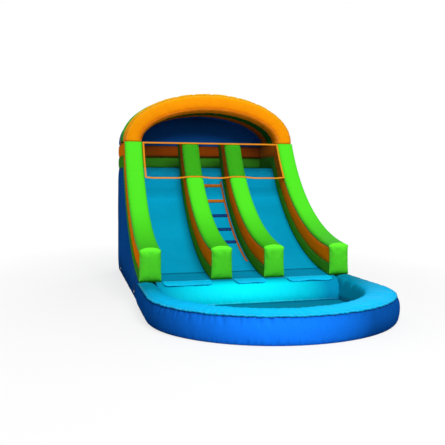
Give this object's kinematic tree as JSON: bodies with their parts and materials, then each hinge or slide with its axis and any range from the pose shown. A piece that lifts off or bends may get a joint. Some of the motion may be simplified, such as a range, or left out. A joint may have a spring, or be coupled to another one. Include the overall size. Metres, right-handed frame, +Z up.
{
  "type": "inflatable water slide",
  "caption": "Free-standing inflatable water slide: padded rails part curved slide lanes and a climbing lane, which join a netted, arch-roofed platform to a splash pool.",
  "frame": {"origin": "middle of the footprint, on the ground", "axes": "+Z up, +Y from the pool to the rear wall, +X to the right as seen from the pool"},
  "size_m": [4.712, 9.3243, 4.8665],
  "materials": {
    "green_vinyl": "glossy coated fabric",
    "orange_vinyl": "glossy coated fabric",
    "cyan_vinyl": "glossy coated fabric",
    "blue_vinyl": "glossy coated fabric",
    "navy_vinyl": "glossy coated fabric",
    "red_webbing": "woven webbing",
    "orange_webbing": "woven webbing",
    "black_mesh": "knotless net",
    "black_zip": "moulded teeth on tape",
    "steel": "zinc-plated"
  },
  "bodies": {
    "slide_body": {"left_outer_rail_cap": "green_vinyl", "left_outer_orange_tube": "orange_vinyl", "left_outer_green_tube": "green_vinyl", "left_outer_end_pillow": "green_vinyl", "left_inner_rail_cap": "green_vinyl", "left_inner_orange_tube": "orange_vinyl", "left_inner_green_tube": "green_vinyl", "left_inner_end_pillow": "green_vinyl", "right_inner_rail_cap": "green_vinyl", "right_inner_orange_tube": "orange_vinyl", "right_inner_green_tube": "green_vinyl", "right_inner_end_pillow": "green_vinyl", "right_outer_rail_cap": "green_vinyl", "right_outer_orange_tube": "orange_vinyl", "right_outer_green_tube": "green_vinyl", "right_outer_end_pillow": "green_vinyl", "left_slide_lane": "cyan_vinyl", "climb_lane": "cyan_vinyl", "right_slide_lane": "cyan_vinyl", "landing_beam": "cyan_vinyl", "climb_step_1": "navy_vinyl", "climb_step_2": "navy_vinyl", "climb_step_3": "navy_vinyl", "climb_step_4": "orange_vinyl", "climb_step_5": "orange_vinyl", "left_climb_strap": "red_webbing", "right_climb_strap": "red_webbing", "left_side_wall": "navy_vinyl", "right_side_wall": "navy_vinyl", "left_inner_wall": "navy_vinyl", "right_inner_wall": "navy_vinyl", "rear_wall": "navy_vinyl", "platform_deck": "cyan_vinyl", "rear_green_tube": "green_vinyl", "rear_orange_tube": "orange_vinyl", "front_arch": "orange_vinyl", "green_roof_rib": "green_vinyl", "orange_roof_rib": "orange_vinyl", "rear_roof_rib": "navy_vinyl", "roof_rear_panel": "navy_vinyl", "pool_outer_wall": "blue_vinyl", "pool_rim": "cyan_vinyl", "base_sheet": "cyan_vinyl", "net_border": "orange_webbing", "safety_net": "black_mesh", "blower_sleeve": "navy_vinyl", "zip_track": "black_zip", "left_front_anchor_tab": "navy_vinyl", "left_rear_anchor_tab": "navy_vinyl", "right_front_anchor_tab": "navy_vinyl", "right_rear_anchor_tab": "navy_vinyl"},
    "left_flap": {"left_exit_flap": "cyan_vinyl"},
    "centre_flap": {"centre_exit_flap": "cyan_vinyl"},
    "right_flap": {"right_exit_flap": "cyan_vinyl"},
    "slider": {"zip_slider": "steel"},
    "cover_flap": {"zip_cover": "navy_vinyl"},
    "left_front_ring": {"left_front_anchor_ring": "steel"},
    "left_rear_ring": {"left_rear_anchor_ring": "steel"},
    "right_front_ring": {"right_front_anchor_ring": "steel"},
    "right_rear_ring": {"right_rear_anchor_ring": "steel"}
  },
  "joints": [
    {"name": "left_flap_lift", "type": "hinge", "parent": "slide_body", "child": "left_flap", "pos_m": [-1.3255, -1.04915, 0.4673], "axis": [-1, 0, 0], "range_deg": [0, 100]},
    {"name": "centre_flap_lift", "type": "hinge", "parent": "slide_body", "child": "centre_flap", "pos_m": [0, -1.04915, 0.4673], "axis": [-1, 0, 0], "range_deg": [0, 100]},
    {"name": "right_flap_lift", "type": "hinge", "parent": "slide_body", "child": "right_flap", "pos_m": [1.3255, -1.04915, 0.4673], "axis": [-1, 0, 0], "range_deg": [0, 100]},
    {"name": "zip_slide", "type": "slide", "parent": "slide_body", "child": "slider", "axis": [1, 0, 0], "range_m": [0, 0.85]},
    {"name": "zip_cover_lift", "type": "hinge", "parent": "slide_body", "child": "cover_flap", "pos_m": [-1.2, 4.31615, 0.485], "axis": [1, 0, 0], "range_deg": [0, 120]},
    {"name": "left_front_ring_swing", "type": "hinge", "parent": "slide_body", "child": "left_front_ring", "pos_m": [-2.3113, -0.09915, 0.16], "axis": [0, 1, 0], "range_deg": [0, 150]},
    {"name": "left_rear_ring_swing", "type": "hinge", "parent": "slide_body", "child": "left_rear_ring", "pos_m": [-2.3113, 3.50085, 0.16], "axis": [0, 1, 0], "range_deg": [0, 150]},
    {"name": "right_front_ring_swing", "type": "hinge", "parent": "slide_body", "child": "right_front_ring", "pos_m": [2.3113, -0.09915, 0.16], "axis": [0, -1, 0], "range_deg": [0, 150]},
    {"name": "right_rear_ring_swing", "type": "hinge", "parent": "slide_body", "child": "right_rear_ring", "pos_m": [2.3113, 3.50085, 0.16], "axis": [0, -1, 0], "range_deg": [0, 150]}
  ]
}
